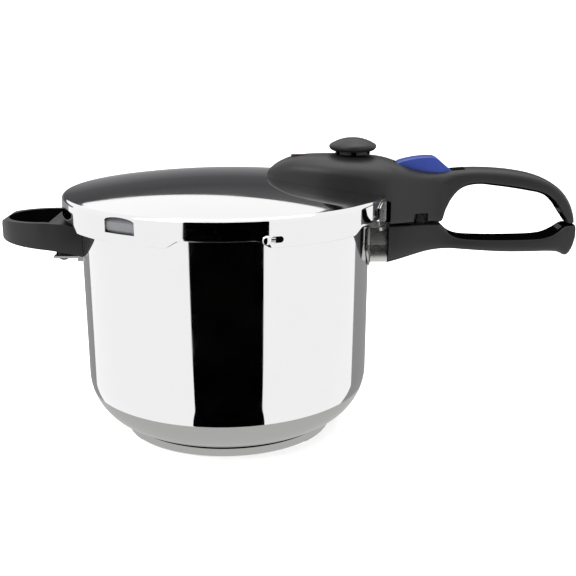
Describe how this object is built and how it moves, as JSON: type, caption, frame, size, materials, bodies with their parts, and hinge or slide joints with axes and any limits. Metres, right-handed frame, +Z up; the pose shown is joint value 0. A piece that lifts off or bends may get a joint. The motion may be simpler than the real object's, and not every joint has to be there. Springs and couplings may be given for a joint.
{
  "type": "stovetop pressure cooker",
  "caption": "Polished steel stovetop pressure cooker with bayonet lid, long twin handles, a side loop handle, rotary valve knob and sliding lock.",
  "frame": {"origin": "centre of the base's underside, on the surface it stands on", "axes": "+Z up along the pot's axis, +X towards the two long handles, +Y to the left of someone who looks along +X"},
  "size_m": [0.4455, 0.249, 0.2283],
  "materials": {
    "polished_steel": "mirror polished stainless steel",
    "satin_steel": "satin stainless steel",
    "aluminium_core": "rolled aluminium",
    "black_phenolic": "moulded black phenolic, satin",
    "blue_button": "moulded blue nylon",
    "silicone": "moulded grey silicone",
    "brass": "turned brass",
    "indicator_red": "moulded red plastic",
    "spring_steel": "drawn spring wire"
  },
  "bodies": {
    "pot": {"pot_body": "polished_steel", "pot_floor": "polished_steel", "heat_spreader": "aluminium_core", "base_cap": "polished_steel", "flame_guard": "satin_steel", "pot_handle_bracket": "satin_steel", "pot_handle": "black_phenolic", "pot_handle_screw": "satin_steel", "side_handle_bracket": "satin_steel", "side_handle": "black_phenolic", "side_handle_screw": "satin_steel"},
    "lid": {"lid_shell": "polished_steel", "gasket": "silicone", "lid_handle_bracket": "polished_steel", "lid_handle": "black_phenolic", "lid_handle_screw": "satin_steel", "indicator_bezel": "black_phenolic", "indicator_grommet": "silicone", "valve_body": "brass", "valve_seal": "silicone", "valve_nut": "brass", "valve_spring": "spring_steel", "safety_valve_body": "brass", "safety_valve_seal": "silicone", "safety_valve_nut": "brass", "safety_spring": "spring_steel", "safety_cap": "brass", "lock_spring": "spring_steel"},
    "knob": {"selector_knob": "black_phenolic", "knob_clip": "spring_steel"},
    "poppet": {"valve_poppet": "brass"},
    "safety": {"safety_poppet": "brass"},
    "indicator": {"pressure_indicator": "indicator_red"},
    "lock": {"lock_button": "blue_button", "lock_bar": "satin_steel"}
  },
  "joints": [
    {"name": "lid_turn", "type": "hinge", "parent": "pot", "child": "lid", "pos_m": [0, 0, 0.18], "axis": [0, 0, 1], "range_deg": [0, 36]},
    {"name": "knob_turn", "type": "hinge", "parent": "lid", "child": "knob", "pos_m": [0.098, 0, 0.22], "axis": [0, 0, 1], "range_deg": [0, 120]},
    {"name": "valve_lift", "type": "slide", "parent": "lid", "child": "poppet", "axis": [0, 0, 1], "range_m": [0, 0.0015], "stiffness_N_per_m": 600, "springref_m": -0.002, "deforming": ["valve_spring"]},
    {"name": "safety_lift", "type": "slide", "parent": "lid", "child": "safety", "axis": [0, 0, 1], "range_m": [0, 0.0012], "stiffness_N_per_m": 900, "springref_m": -0.002, "deforming": ["safety_spring"]},
    {"name": "indicator_rise", "type": "slide", "parent": "lid", "child": "indicator", "axis": [0, 0, 1], "range_m": [0, 0.005]},
    {"name": "lock_slide", "type": "slide", "parent": "lid", "child": "lock", "axis": [1, 0, 0], "range_m": [0, 0.008], "stiffness_N_per_m": 300, "springref_m": -0.004, "deforming": ["lock_spring"]}
  ]
}
